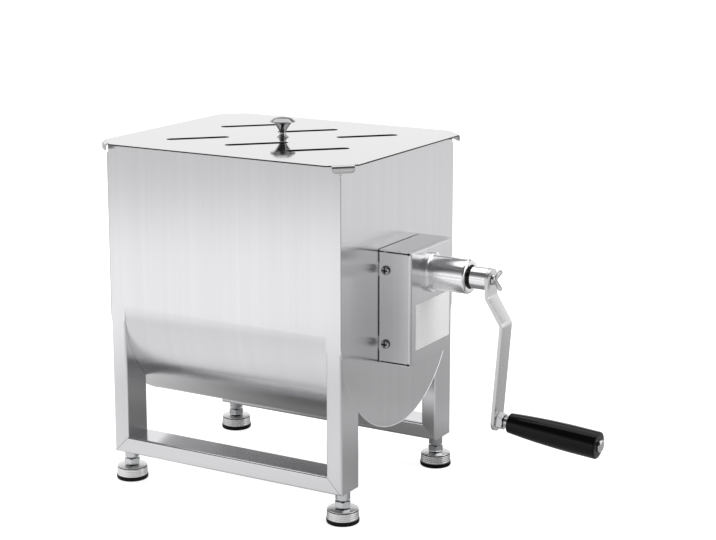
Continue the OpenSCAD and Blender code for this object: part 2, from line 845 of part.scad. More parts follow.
module blade() {
    corner = 8;
    translate([0, 0, blade_tip - blade_h / 2]) rotate(blade_pitch) rotate([90, 0, 0])
        translate([0, 0, -blade_t / 2]) linear_extrude(blade_t) round_rect(blade_w, blade_h, corner);
}

module mixing_blades() {
    color("silver") at_paddles() blade();
}

module paddle_arms() {
    color("silver") at_paddles() difference() {
        cylinder(d = paddle_arm_d, h = blade_tip - blade_h + blade_socket);
        rotate([0, 90, 0]) cylinder(d = paddle_d, h = 2 * paddle_arm_d, center = true);
        blade();
    }
}

// Crank

module crank_shaft() {
    color("gainsboro") difference() {
        rod_x(shaft_d, shaft_x, shaft_end, 0, crank_z);
        rod_x(thumb_d + 2 * run_fit, arm_front - thumb_l - cut, shaft_end + cut, 0, crank_z);
    }
}

// A space between two of its teeth points straight down, at the gear's upper tooth
module pinion() {
    half_pitch = pinion_teeth % 2 == 0 ? 180 / pinion_teeth : 0;
    color("darkgray") difference() {
        translate([0, 0, crank_z]) along_x(gear_x - pinion_over, gear_end + pinion_over)
            rotate(half_pitch) polygon(gear_outline(pinion_teeth));
        rod_x(shaft_d + 2 * seat_fit, wall_x, plate_x, 0, crank_z);
    }
}

module crank_hub() {
    edge = 0.8;
    color("gainsboro") difference() {
        union() {
            rod_x(hub_d, hub_x + edge, arm_x, 0, crank_z);
            translate([hub_x, 0, crank_z]) rotate([0, 90, 0])
                cylinder(d1 = hub_d - 2 * edge, d2 = hub_d, h = edge);
        }
        rod_x(shaft_d + 2 * seat_fit, hub_x - cut, arm_x - hub_web, 0, crank_z);
        rod_x(thumb_d + 2 * face_gap, hub_x, arm_x + cut, 0, crank_z);
    }
}

// One side of a bar that is bent along a path: each inner point becomes an arc
bend_steps = 6;
function bar_side(path, off, r) = [
    for (i = [0 : len(path) - 1]) let (
        before = i > 0 ? unit(path[i] - path[i - 1]) : unit(path[1] - path[0]),
        after = i < len(path) - 1 ? unit(path[i + 1] - path[i]) : before,
        normal = turned(before, 90),
        turn = asin(before[0] * after[1] - before[1] * after[0]),
        side = turn > 0 ? 1 : -1,
        middle = path[i] - before * r * tan(abs(turn) / 2) + normal * side * r,
        bent = abs(turn) > 0.01
    ) for (k = [0 : bent ? bend_steps : 0])
        bent ? middle - turned(normal * side, turn * k / bend_steps) * (r - side * off)
            : path[i] + normal * off
];
function reversed(list) = [for (i = [len(list) - 1 : -1 : 0]) list[i]];

// The bar's middle line in X and Z, from above the hub to past the grip
arm_mid = arm_x + arm_t / 2;
arm_down = [-sin(arm_lean), -cos(arm_lean)];
arm_path = [
    [arm_mid, crank_z + arm_w], [arm_mid, crank_z - bend_top],
    [arm_mid + arm_step, crank_z - bend_low], [grip_x, grip_z] + arm_w * arm_down
];

// The grip's axis as +Z, from the middle of the bar outwards
module on_grip_axis() {
    translate([grip_x, 0, grip_z]) rotate([0, 90 + arm_lean, 0]) children();
}

module crank_arm() {
    bend_mid = arm_bend_r + arm_t / 2;
    reach = 2 * arm_step + arm_t;
    outward = [cos(arm_lean), -sin(arm_lean)];
    grip_at = [grip_x, grip_z];
    color("whitesmoke") difference() {
        intersection() {
            along_y(-arm_w / 2, arm_w / 2) polygon(concat(
                bar_side(arm_path, arm_t / 2, bend_mid), reversed(bar_side(arm_path, -arm_t / 2, bend_mid))
            ));
            union() {
                rod_x(arm_w, arm_x - cut, arm_front + cut, 0, crank_z);
                along_y(-arm_w, arm_w) polygon([
                    [arm_mid - reach, crank_z], [arm_mid + reach, crank_z],
                    grip_at + reach * outward, grip_at - reach * outward
                ]);
                on_grip_axis() cylinder(d = arm_w, h = 2 * arm_t, center = true);
            }
        }
        rod_x(thumb_d + 2 * face_gap, arm_x - cut, arm_front + cut, 0, crank_z);
        on_grip_axis() cylinder(d = grip_rod_d + 2 * seat_fit, h = 4 * arm_t, center = true);
    }
}

module grip_spindle() {
    rivet_h = 1.2;
    color("gainsboro") on_grip_axis() {
        translate([0, 0, -arm_t / 2 - rivet_h]) cylinder(d = grip_rod_d, h = grip_end + arm_t / 2 + rivet_h);
        translate([0, 0, grip_end + face_gap]) rotate_extrude() pan_profile(rod_head_d, rod_head_h);
        translate([0, 0, grip_end - cut]) cylinder(d = grip_rod_d, h = 2 * cut);
    }
}

module grip_nut() {
    color("gainsboro") on_grip_axis() translate([0, 0, arm_t / 2]) linear_extrude(grip_nut_h) difference() {
        hexagon(grip_nut_af);
        circle(d = grip_rod_d + 2 * seat_fit);
    }
}

// Half of the grip's section: a round inner end, a swelling taper and a nearly straight outer half
module grip_profile() {
    small = grip_small_d / 2;
    large = grip_large_d / 2;
    edge = 1.6;
    bore = grip_rod_d / 2 + run_fit;
    taper = curve([small, edge], [large - 0.4, 0.34 * grip_l], [large, 0.72 * grip_l], 12);
    inner_edge = curve([small - edge, 0], [small, 0], [small, edge], 4);
    outer_edge = curve([large, grip_l - edge], [large, grip_l], [large - edge, grip_l], 4);
    polygon(concat([[bore, 0]], inner_edge, taper, outer_edge, [[bore, grip_l]]));
}

module grip() {
    color("#15130f") on_grip_axis() translate([0, 0, grip_start]) rotate_extrude() grip_profile();
}

// The thumb screw's axis as +Z, out of the end of the crank shaft
module thumb_screw() {
    lean = 55;
    wing_l = (wing_span - wing_w) / 2 / sin(lean);
    color("gainsboro") translate([arm_front, 0, crank_z]) rotate([0, 90, 0]) {
        translate([0, 0, -thumb_l]) cylinder(d = thumb_d, h = thumb_l + thumb_boss_h);
        translate([0, 0, face_gap]) cylinder(d1 = 1.9 * thumb_d, d2 = 1.4 * thumb_d, h = thumb_boss_h);
        translate([0, wing_t / 2, wing_w / 2 + face_gap]) rotate([90, 0, 0]) linear_extrude(wing_t)
            for (side = [0, 1]) mirror([side, 0]) rotate(90 - lean) {
                translate([0, -wing_w / 2]) square([wing_l, wing_w]);
                translate([wing_l, 0]) circle(d = wing_w);
            }
    }
}

trough();
left_end_plate();
right_end_plate();
front_rail();
rear_rail();
foot_sockets();
gearbox_cover();
cover_screws();
cover_brackets();
bearing_plate();
plate_posts();
plate_screws();
bearing_housing();
housing_collar();
crank_bushes();
crank_seal();
wall_bush();
wall_seal();
spindle_bush();
pin_boss();
bearing_pin();
pin_lock_nut();
drive_gear();
drive_spindle();
paddle_shaft();
paddle_arms();
mixing_blades();
crank_shaft();
pinion();
crank_hub();
crank_arm();
grip_spindle();
grip_nut();
thumb_screw();
grip();
lid();
lid_knob();
knob_screw();
for (c = CORNERS) {
    corner_leg(c);
    foot_stud(c);
    foot_cup(c);
    foot_pad(c);
}
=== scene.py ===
import json
import math

import bmesh
import bpy
from mathutils import Matrix, Vector
from mathutils.geometry import interpolate_bezier


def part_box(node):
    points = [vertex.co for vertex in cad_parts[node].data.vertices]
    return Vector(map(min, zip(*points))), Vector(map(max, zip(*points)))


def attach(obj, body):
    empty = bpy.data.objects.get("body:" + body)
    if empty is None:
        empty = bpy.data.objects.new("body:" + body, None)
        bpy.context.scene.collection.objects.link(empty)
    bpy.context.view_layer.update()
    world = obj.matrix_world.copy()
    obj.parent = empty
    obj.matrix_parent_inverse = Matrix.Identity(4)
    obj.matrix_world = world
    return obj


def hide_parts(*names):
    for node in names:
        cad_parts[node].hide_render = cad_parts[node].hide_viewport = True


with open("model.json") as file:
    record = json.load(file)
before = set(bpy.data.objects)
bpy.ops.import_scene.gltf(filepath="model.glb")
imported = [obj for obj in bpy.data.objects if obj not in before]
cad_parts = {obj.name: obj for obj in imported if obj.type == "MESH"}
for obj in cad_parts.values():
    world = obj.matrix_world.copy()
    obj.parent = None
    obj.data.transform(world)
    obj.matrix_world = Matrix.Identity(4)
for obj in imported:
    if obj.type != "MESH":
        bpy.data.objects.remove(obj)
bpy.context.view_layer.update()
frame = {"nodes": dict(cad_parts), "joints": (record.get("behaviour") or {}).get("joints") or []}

# A hand-cranked meat mixer: brushed stainless tank on a tube frame, with a bright lid,
# a gearbox on its right end, a bent crank with a black grip, and four screw feet.
# X runs along the shafts with the crank at +X, Y to the back and Z up.
# Shapes are drawn in millimetres and become metres as they are made.

nodes = frame["nodes"]
joints = {joint["name"]: joint for joint in frame["joints"]}

MM = 0.001
CORNERS = {"front_left": (-1, -1), "front_right": (1, -1), "rear_left": (-1, 1), "rear_right": (1, 1)}


def sizes(node):
    """A node's lowest and highest corner in millimetres."""
    return [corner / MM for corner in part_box(node)]


def pivot(name):
    """A joint's place in millimetres."""
    return Vector(joints[name]["pos_m"]) / MM


# Materials

# The range that nearly all of a noise falls in
NOISE_LOW = 0.3
NOISE_HIGH = 0.7


def linear(code):
    """An sRGB hex colour as linear RGBA."""
    parts = [int(code[i:i + 2], 16) / 255 for i in (1, 3, 5)]
    return [c / 12.92 if c <= 0.04045 else ((c + 0.055) / 1.055) ** 2.4 for c in parts] + [1.0]


def grey(level):
    """A linear grey as RGBA."""
    return [level, level, level, 1.0]


def add(tree, kind, links=(), stops=(), **settings):
    """Adds a node: settings are its properties or inputs by name, links are (input, socket) pairs,
    and stops are a ramp's (position, colour) pairs."""
    node = tree.nodes.new("ShaderNode" + kind)
    for name, value in settings.items():
        if hasattr(node, name):
            setattr(node, name, value)
        else:
            node.inputs[name.replace("_", " ")].default_value = value
    for name, socket in links:
        tree.links.new(socket, node.inputs[name])
    if stops:
        elements = node.color_ramp.elements
        for element, (position, colour) in zip(elements, (stops[0], stops[-1])):
            element.position, element.color = position, colour
        for position, colour in stops[1:-1]:
            elements.new(position).color = colour
    return node


def finish_of(name, colour, **settings):
    """A new material with its shader's own values set; returns the material, its tree and the shader."""
    material = bpy.data.materials.new(name)
    material.use_nodes = True
    tree = material.node_tree
    shader = tree.nodes["Principled BSDF"]
    shader.inputs["Base Color"].default_value = linear(colour)
    for key, value in settings.items():
        shader.inputs[key.replace("_", " ")].default_value = value
    material.diffuse_color = linear(colour)
    return material, tree, shader


def streaks(tree, scale, detail):
    """Noise drawn out along a grain: scale gives the marks per metre along X, Y and Z."""
    place = add(tree, "TexCoord")
    mapped = add(tree, "Mapping", [("Vector", place.outputs["Object"])], Scale=scale)
    return add(tree, "TexNoise", [("Vector", mapped.outputs["Vector"])],
               Scale=1.0, Detail=detail, Roughness=0.6)


def spread(tree, value, low, high):
    """Spreads a noise's usual range over two colours."""
    ramp = add(tree, "ValToRGB", [("Fac", value)], [(NOISE_LOW, low), (NOISE_HIGH, high)])
    return ramp.outputs["Color"]


def vary_gloss(tree, shader, noise, rough, swing):
    """Lets a noise swing the roughness between two shares of its value."""
    low, high = (grey(share * rough) for share in swing)
    tree.links.new(spread(tree, noise.outputs["Fac"], low, high), shader.inputs["Roughness"])


# Belt-ground stainless sheet: fine straight scratches blur a reflection across the grain
# and leave it sharp along the grain. Real scratches are about 0.05 mm wide; they are drawn
# 2 mm and 11 mm wide here, so that they show at the distance of the picture.
BRUSHED_TONE = "#DADADC"
SCRATCH = 2 * MM
SCRATCH_RUN = 300 * MM
BAND = 11 * MM
BAND_RUN = 600 * MM
BAND_SHARE = 0.65
SCRATCH_SHADE = 0.95
SCRATCH_GLOSS = (0.98, 1.02)

# Tangents lean a little, because a face turns black where the tangent is square to it
UPRIGHT = (0.01, 0.02, 1)
LENGTHWAYS = (1, 0.01, 0.02)
QUARTER_TURN = 0.25


def brushed(name, across, tangent, turn=0.0, rough=0.22):
    """Brushed stainless: across marks the axes that cross the grain."""
    material, tree, shader = finish_of(name, BRUSHED_TONE, Metallic=1.0, Anisotropic=0.95,
                                       Anisotropic_Rotation=turn)
    fine = streaks(tree, [1 / SCRATCH if a else 1 / SCRATCH_RUN for a in across], 2.0)
    broad = streaks(tree, [1 / BAND if a else 1 / BAND_RUN for a in across], 2.0)
    # Sockets 2 and 3 mix plain numbers
    both = add(tree, "Mix", [(2, fine.outputs["Fac"]), (3, broad.outputs["Fac"])], Factor=BAND_SHARE)
    bright = linear(BRUSHED_TONE)
    dark = [SCRATCH_SHADE * c for c in bright[:3]] + [1.0]
    tree.links.new(spread(tree, both.outputs[0], dark, bright), shader.inputs["Base Color"])
    vary_gloss(tree, shader, fine, rough, SCRATCH_GLOSS)
    way = add(tree, "CombineXYZ", X=tangent[0], Y=tangent[1], Z=tangent[2])
    tree.links.new(way.outputs["Vector"], shader.inputs["Tangent"])
    return material


# The grain runs up the walls and legs, round the bent trough, and along the rails and paddle shaft
upright_brushed = brushed("brushed_stainless_upright", (1, 1, 0), UPRIGHT, QUARTER_TURN)
wrapped_brushed = brushed("brushed_stainless_wrapped", (1, 0, 0), LENGTHWAYS)
lengthways_brushed = brushed("brushed_stainless_lengthways", (0, 1, 1), LENGTHWAYS, QUARTER_TURN, 0.14)

POLISH_GLOSS = (0.7, 1.4)


def polished(name, tone, rough, speck):
    """Bright metal with faint polishing marks that vary its gloss."""
    material, tree, shader = finish_of(name, tone, Metallic=1.0)
    marks = streaks(tree, [1 / speck] * 3, 4.0)
    vary_gloss(tree, shader, marks, rough, POLISH_GLOSS)
    return material


# Bright-rolled stainless: nearly a mirror, so the knob shows in the lid
bright_sheet = polished("bright_rolled_stainless", "#B8B8B8", 0.06, 3 * MM)
# Dull like a laser-cut edge, and painted near-black as shade: it stands for the shadowed gap under the lid's
# edges, the dark inside of its slots and the groove under each cup's edge
painted_shade_edge = polished("edge_and_groove_painted_shade", "#303030", 0.45, 0.5 * MM)
# Turned and polished stainless: hard dark and bright bands round every curve
turned_bright = polished("turned_polished_stainless", "#C8C8CA", 0.09, 1.5 * MM)
# Chromed brass: a dark mirror that takes its tone from what stands round it
chromed = polished("chromed_brass", "#9C9C9E", 0.05, 1.5 * MM)
# Turned stainless left with its fine tool rings: the bands are softer
turned_satin = polished("fine_turned_stainless", "#ECECEE", 0.15, 1.0 * MM)
# Spun stainless: bright with a slight haze
spun_bright = polished("spun_stainless", "#DEDEDE", 0.28, 1.0 * MM)
# Drawn screw steel: darker than the sheet round it
screw_steel = polished("bright_screw_steel", "#A8A8AA", 0.12, 0.5 * MM)
# Painted shade and reflection: the same steel made near-black in the cross drive and round the head's lower
# rim, where shade and dark reflections fall
screw_painted_shade = polished("screw_drive_and_rim_painted_shade", "#2E2E30", 0.30, 0.5 * MM)
# Zinc-plated steel: paler and duller than polished stainless
zinc = polished("zinc_plated_steel", "#D0D2D4", 0.16, 1.0 * MM)
# Satin nickel-plated bar: a soft even sheen
satin_plate = polished("satin_nickel_plated_steel", "#D2D2D2", 0.28, 0.7 * MM)
# Weld ground back by hand: a dull grey line between brighter faces
ground_weld = polished("hand_ground_weld", "#8A8A8A", 0.38, 0.6 * MM)
# Cut gear steel: darker, with a thin film of grease
gear_steel = polished("cut_gear_steel", "#8F8F8C", 0.30, 1.0 * MM)
# Oil-filled sintered bronze: a dull warm brown
bronze = polished("sintered_bronze", "#9A7440", 0.38, 0.5 * MM)

SKIN_GLOSS = (0.8, 1.2)
SKIN_RELIEF = 0.05 * MM


def moulded(name, tone, rough, gloss, coat, grain):
    """Moulded material: even colour, with a fine skin that breaks up its gloss."""
    material, tree, shader = finish_of(name, tone, Specular_IOR_Level=gloss, Coat_Weight=coat,
                                       Coat_Roughness=0.03)
    skin = streaks(tree, [1 / grain] * 3, 3.0)
    vary_gloss(tree, shader, skin, rough, SKIN_GLOSS)
    bump = add(tree, "Bump", [("Height", skin.outputs["Fac"])], Strength=0.08, Distance=SKIN_RELIEF)
    tree.links.new(bump.outputs["Normal"], shader.inputs["Normal"])
    return material


# Moulded phenolic: deep gloss black
phenolic = moulded("moulded_black_phenolic", "#060606", 0.10, 0.16, 0.05, 0.6 * MM)
# Moulded rubber: dull black
rubber = moulded("moulded_black_rubber", "#0A0A0A", 0.5, 0.15, 0.0, 0.4 * MM)
# White vinyl film: an even white with a low gloss
vinyl = moulded("white_vinyl_film", "#FCFCFC", 0.35, 0.5, 0.0, 0.8 * MM)

FINISHES = {
    "brushed_stainless": upright_brushed,
    "mirror_stainless": bright_sheet,
    "polished_stainless": turned_bright,
    "satin_plated_steel": satin_plate,
    "zinc_plated_steel": zinc,
    "gear_steel": gear_steel,
    "bearing_bronze": bronze,
    "black_rubber": rubber,
    "black_grip": phenolic,
}
for node in nodes.values():
    node.material_slots[0].material = FINISHES[node.material_slots[0].material.name]
for name in ("front_rail", "rear_rail", "paddle_shaft"):
    nodes[name].material_slots[0].material = lengthways_brushed
for name in ("bearing_housing", "housing_collar", "crank_hub"):
    nodes[name].material_slots[0].material = turned_satin
nodes["trough"].material_slots[0].material = wrapped_brushed


# Shapes

TURN_STEPS = 96
# An edge is sharp past this angle in radians, and points this near to each other or to a cut are one
SHARP_TURN = 0.6
SAME_POINT = 0.001 * MM
CUT_SLACK = 0.0001 * MM


def bevelled(bm, edges, width, segments):
    """Rounds some edges over a width in millimetres."""
    bmesh.ops.bevel(bm, geom=edges, offset=width * MM, offset_type="OFFSET", affect="EDGES",
                    segments=segments, profile=0.5, material=-1, clamp_overlap=True)
    return bm


def soften(bm, width, segments=3):
    """Rounds every edge that turns sharply."""
    sharp = [edge for edge in bm.edges if edge.is_manifold and edge.calc_face_angle() > SHARP_TURN]
    return bevelled(bm, sharp, width, segments)


def closed(bm):
    """Joins points that meet, caps open ends and turns all faces outwards."""
    bmesh.ops.remove_doubles(bm, verts=bm.verts, dist=SAME_POINT)
    bmesh.ops.holes_fill(bm, edges=[edge for edge in bm.edges if edge.is_boundary], sides=0)
    bmesh.ops.recalc_face_normals(bm, faces=bm.faces)
    return bm


def cut(bm, point, normal):
    """Cuts new edges where a plane crosses a shape; the point is in metres."""
    bmesh.ops.bisect_plane(bm, geom=bm.verts[:] + bm.edges[:] + bm.faces[:], dist=CUT_SLACK,
                           plane_co=point, plane_no=normal)


def moved(bm, matrix):
    bmesh.ops.transform(bm, matrix=matrix, verts=bm.verts)
    return bm


def placed(bm, place, axis=(0, 0, 1)):
    """Turns a shape's own Z to an axis, and carries it to a place in millimetres."""
    turn = Vector((0, 0, 1)).rotation_difference(Vector(axis)).to_matrix().to_4x4()
    return moved(bm, Matrix.Translation(Vector(place) * MM) @ turn)


def line(points):
    """A new bmesh with a chain of edges through points in millimetres."""
    bm = bmesh.new()
    chain = [bm.verts.new(Vector(point) * MM) for point in points]
    for pair in zip(chain, chain[1:]):
        bm.edges.new(pair)
    return bm


def curve(start, pull, end, count=12):
    """Points on a smooth curve from start to end that leaves and arrives towards pull."""
    a, p, b = (Vector((*point, 0)) for point in (start, pull, end))
    points = interpolate_bezier(a, a.lerp(p, 2 / 3), b.lerp(p, 2 / 3), b, count)
    return [(point.x, point.y) for point in points]


def rounded(corners):
    """An outline through (x, y, radius) corners, each rounded over its radius."""
    outline = []
    for before, corner, after in zip(corners[-1:] + corners[:-1], corners, corners[1:] + corners[:1]):
        point = Vector(corner[:2])
        ways = [(Vector(other[:2]) - point).normalized() for other in (before, after)]
        start, end = (point + corner[2] * way for way in ways)
        outline += curve(start, point, end, 8) if corner[2] else [corner[:2]]
    return outline


def ring(radius, count=24):
    """Points round a circle."""
    return [(radius * math.cos(2 * math.pi * k / count), radius * math.sin(2 * math.pi * k / count))
            for k in range(count)]


def spun(profile):
    """A turned solid about Z, from (radius, height) points."""
    bm = line([(radius, 0, height) for radius, height in profile])
    bmesh.ops.spin(bm, geom=bm.verts[:] + bm.edges[:], cent=(0, 0, 0), axis=(0, 0, 1),
                   angle=2 * math.pi, steps=TURN_STEPS, use_merge=True)
    return closed(bm)


# A thread's depth and the two ends of its crest, as shares of the pitch
THREAD_DEPTH = 0.6
THREAD_CREST = (0.44, 0.56)
THREAD_STEPS = 32


def threaded(diameter, pitch, low, high):
    """A threaded rod along Z, as one ridge wound round it."""
    turns = round((high - low) / pitch) - 1
    pitch = (high - low) / (turns + 1)
    crest = diameter / 2
    root = crest - THREAD_DEPTH * pitch
    ridge = [(root, 0), (crest, THREAD_CREST[0]), (crest, THREAD_CREST[1]), (root, 1)]
    bm = line([(radius, 0, low + rise * pitch) for radius, rise in ridge])
    bmesh.ops.spin(bm, geom=bm.verts[:] + bm.edges[:], cent=(0, 0, 0), axis=(0, 0, 1),
                   dvec=(0, 0, pitch * MM / THREAD_STEPS), angle=2 * math.pi * turns,
                   steps=THREAD_STEPS * turns)
    return closed(bm)


def verts_of(geometry):
    return [part for part in geometry if isinstance(part, bmesh.types.BMVert)]


# The flat round land on a hexagon's end, as a share of its half width, and the cone outside it
HEX_LAND = 0.95
HEX_CONE = math.radians(30)
HEX_STEPS = 48


def hexagon(flats, low, high, bore=0.0):
    """A hexagon bar or nut along Z, with its corners turned off to a cone at both ends."""
    half = flats / 2
    land = HEX_LAND * half
    # Each ring has a radius, or 0 for the hexagon itself, a height and the way that its corners lean
    rings = [(land, low, 0), (0, low, 1), (0, high, -1), (land, high, 0)]
    if bore:
        rings = [(bore / 2, low, 0), *rings, (bore / 2, high, 0), (bore / 2, low, 0)]
    bm = bmesh.new()
    verts = bmesh.ops.create_circle(bm, radius=1.0, segments=HEX_STEPS)["verts"]
    edges = bm.edges[:]
    for count, (radius, height, lean) in enumerate(rings):
        if count:
            made = bmesh.ops.extrude_edge_only(bm, edges=edges)["geom"]
            verts = set(verts_of(made))
            edges = [part for part in made
                     if isinstance(part, bmesh.types.BMEdge) and verts.issuperset(part.verts)]
        for vert in verts:
            angle = math.atan2(vert.co.y, vert.co.x)
            reach = radius or half / math.cos(angle % (math.pi / 3) - math.pi / 6)
            rise = lean * (reach - land) * math.tan(HEX_CONE)
            vert.co = Vector((reach * math.cos(angle), reach * math.sin(angle), height + rise)) * MM
    return closed(bm)


def sheet(outlines, thickness):
    """A flat sheet in X and Y about Z zero: its outline comes first, then its holes."""
    bm = bmesh.new()
    for outline in outlines:
        loop = [bm.verts.new(Vector((x, y, -thickness / 2)) * MM) for x, y in outline]
        for pair in zip(loop, loop[1:] + loop[:1]):
            bm.edges.new(pair)
    bmesh.ops.triangle_fill(bm, edges=bm.edges[:], use_beauty=True)
    raised = bmesh.ops.extrude_face_region(bm, geom=bm.faces[:])["geom"]
    bmesh.ops.translate(bm, vec=(0, 0, thickness * MM), verts=verts_of(raised))
    bmesh.ops.recalc_face_normals(bm, faces=bm.faces)
    return bm


# The cuts in each bend, how far its curve is drawn to the corner, and a length that keeps shares finite
BEND_CUTS = 10
BEND_PULL = 0.6
SHORTEST_RUN = 0.000001


def bends(corners, radius):
    """A line through corners, each inner one rounded to a radius, as (point, direction) pairs."""
    ways = [(b - a).normalized() for a, b in zip(corners, corners[1:])]
    path = [(corners[0], ways[0])]
    for corner, before, after in zip(corners[1:], ways, ways[1:]):
        run = radius * math.tan(before.angle(after) / 2)
        start, end = corner - run * before, corner + run * after
        bend = interpolate_bezier(start, start.lerp(corner, BEND_PULL), end.lerp(corner, BEND_PULL), end,
                                  BEND_CUTS + 1)
        path += [(point, before.lerp(after, k / BEND_CUTS).normalized()) for k, point in enumerate(bend)]
    return path + [(corners[-1], ways[-1])]


def folded(bm, path):
    """Bends a flat strip that lies along X so that it follows a path in X and Z."""
    runs = [0.0]
    for (a, _), (b, _) in zip(path, path[1:]):
        runs.append(runs[-1] + (b - a).length)
    for run in runs[1:-1]:
        cut(bm, Vector((run * MM, 0, 0)), Vector((1, 0, 0)))
    for vert in bm.verts:
        run, across, out = vert.co / MM
        k = min(max(sum(run >= r for r in runs) - 1, 0), len(runs) - 2)
        share = (run - runs[k]) / max(runs[k + 1] - runs[k], SHORTEST_RUN)
        (a, way_a), (b, way_b) = path[k], path[k + 1]
        way = way_a.lerp(way_b, min(max(share, 0), 1)).normalized()
        outward = Vector((-way.z, 0, way.x))
        vert.co = (a.lerp(b, share) + Vector((0, across, 0)) + out * outward) * MM
    bmesh.ops.recalc_face_normals(bm, faces=bm.faces)
    return bm


def bead(points, radius):
    """A thin round bead along points in millimetres."""
    data = bpy.data.curves.new("bead", "CURVE")
    data.dimensions = "3D"
    data.bevel_depth = radius * MM
    data.bevel_resolution = 2
    data.use_fill_caps = True
    run = data.splines.new("POLY")
    run.points.add(len(points) - 1)
    for knot, point in zip(run.points, points):
        knot.co = (*(Vector(point) * MM), 1.0)
    scrap = bpy.data.objects.new("bead", data)
    mesh = bpy.data.meshes.new_from_object(scrap)
    bm = bmesh.new()
    bm.from_mesh(mesh)
    bpy.data.objects.remove(scrap)
    bpy.data.curves.remove(data)
    bpy.data.meshes.remove(mesh)
    return closed(bm)


def piece(name, parts, body, materials, slot, *hidden, sharp=35):
    """Makes one object of some shapes, which rides on a body and stands for the hidden nodes."""
    bm = bmesh.new()
    for part in parts:
        scrap = bpy.data.meshes.new("scrap")
        part.to_mesh(scrap)
        part.free()
        bm.from_mesh(scrap)
        bpy.data.meshes.remove(scrap)
    mesh = bpy.data.meshes.new(name)
    bm.to_mesh(mesh)
    bm.free()
    mesh.shade_smooth()
    mesh.set_sharp_from_angle(angle=math.radians(sharp))
    for material in materials:
        mesh.materials.append(material)
    made = bpy.data.objects.new(name, mesh)
    bpy.context.scene.collection.objects.link(made)
    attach(made, body)
    if hidden:
        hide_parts(*hidden)


# Feet

HEX_H = 7.0
STUD_D = 8.0
STUD_PITCH = 1.25
STUD_GAP = 0.6
PAD_EDGE_SHARE = 1 / 3
PAD_EDGE_RISE = 1.4
PAD_TOP_R = 0.6
CUP_TAPER = 0.965
CUP_CROWN_SHARE = 0.07
CUP_SHOULDER = 8.0
CUP_LIP = 0.4
CUP_EDGE_IN = 0.6
CUP_EDGE_UP = 0.1
CUP_RINGS = 4
CUP_RING_DEPTH = 0.15
CUP_RING_HALF = 0.4
CUP_BAND = 0.5
CUP_GROOVE = 0.9
CUP_GROOVE_DEPTH = 0.5
CUP_GROOVE_LEAN = 0.1


def pad_shape(low, high, rim):
    """A moulded pad, well rounded below and tight under the cup."""
    edge = PAD_EDGE_SHARE * (high - low)
    return spun([
        (0, low), *curve((rim - edge, low), (rim, low), (rim, low + PAD_EDGE_RISE * edge)),
        *curve((rim, high - PAD_TOP_R), (rim, high), (rim - PAD_TOP_R, high), 5), (0, high),
    ])


def cup_shape(low, high, rim):
    """A spun cup with faint rings round its side, a groove under its edge painted near-black as shade, and a
    low cone on top.
    """
    crown = high - CUP_CROWN_SHARE * (high - low)
    top = CUP_TAPER * rim
    side = []
    for k in range(CUP_RINGS):
        share = (k + 1) / (CUP_RINGS + 1)
        height = low + share * (crown - low)
        radius = rim + share * (top - rim)
        side += [(radius, height - CUP_RING_HALF), (radius - CUP_RING_DEPTH, height),
                 (radius, height + CUP_RING_HALF)]
    groove = crown - CUP_BAND - CUP_GROOVE
    sunk = top - CUP_GROOVE_DEPTH
    bm = spun([
        (0, low), *curve((rim - CUP_LIP, low), (rim, low), (rim, low + CUP_LIP), 4), *side,
        (top, groove), (sunk, groove + CUP_GROOVE_LEAN),
        (sunk, groove + CUP_GROOVE - CUP_GROOVE_LEAN), (top, groove + CUP_GROOVE),
        *curve((top, crown - CUP_LIP), (top, crown), (top - CUP_EDGE_IN, crown + CUP_EDGE_UP), 6),
        (CUP_SHOULDER, high), (0, high),
    ])
    # Painted shade: the groove's faces take the second, near-black finish
    for face in bm.faces:
        face.material_index = int(groove < face.calc_center_median().z / MM < groove + CUP_GROOVE)
    return bm


for corner in CORNERS:
    foot = f"{corner}_foot"
    low, high = sizes(f"{corner}_stud")
    place = ((low.x + high.x) / 2, (low.y + high.y) / 2, 0)
    hex_top = low.z + HEX_H
    stud = [hexagon(high.y - low.y, low.z + STUD_GAP, hex_top - STUD_GAP),
            threaded(STUD_D, STUD_PITCH, low.z, high.z)]
    for part in stud:
        placed(part, place)
    piece(f"{corner}_threaded_stud", stud, foot, [zinc], "zinc_plated_steel", f"{corner}_stud")
    low, high = sizes(f"{corner}_cup")
    cup = placed(cup_shape(low.z, high.z, (high.x - low.x) / 2), place)
    cup_finish = [spun_bright, painted_shade_edge]
    piece(f"{corner}_spun_cup", [cup], foot, cup_finish, "polished_stainless", f"{corner}_cup")
    low, high = sizes(f"{corner}_pad")
    pad = placed(pad_shape(low.z, high.z, (high.x - low.x) / 2), place)
    piece(f"{corner}_moulded_pad", [pad], foot, [rubber], "black_rubber", f"{corner}_pad")


# Lid

LID_T = 1.2
LID_EDGE = 0.2
LID_CORNER = 20.0
SLOT_L = 56.0
SLOT_W = 9.5
SLOT_PITCH = 62.0
SLOT_ROW = 42.5
SLOT_TURN = math.radians(45)
KNOB_HOLE = 4.1
FLAP_W = 19.4
FLAP_L = 7.2
FLAP_R = 3.5
FLAP_LEAN = math.radians(4)
FLAP_BEND = 2.2
# A face of the sheet is a cut edge where its normal rises less than this
UPRIGHT_FACE = 0.5
lid_high = sizes("lid")[1]
lid_z = lid_high.z - LID_T / 2


def slot_outline(x, y):
    """A slot with round ends that lies slantwise across the lid."""
    points = []
    for px, py in ring(SLOT_W / 2, 32):
        points.append(Vector((px + math.copysign((SLOT_L - SLOT_W) / 2, px), py)))
    turn = Matrix.Rotation(SLOT_TURN, 2)
    return [tuple(Vector((x, y)) + turn @ point) for point in points]


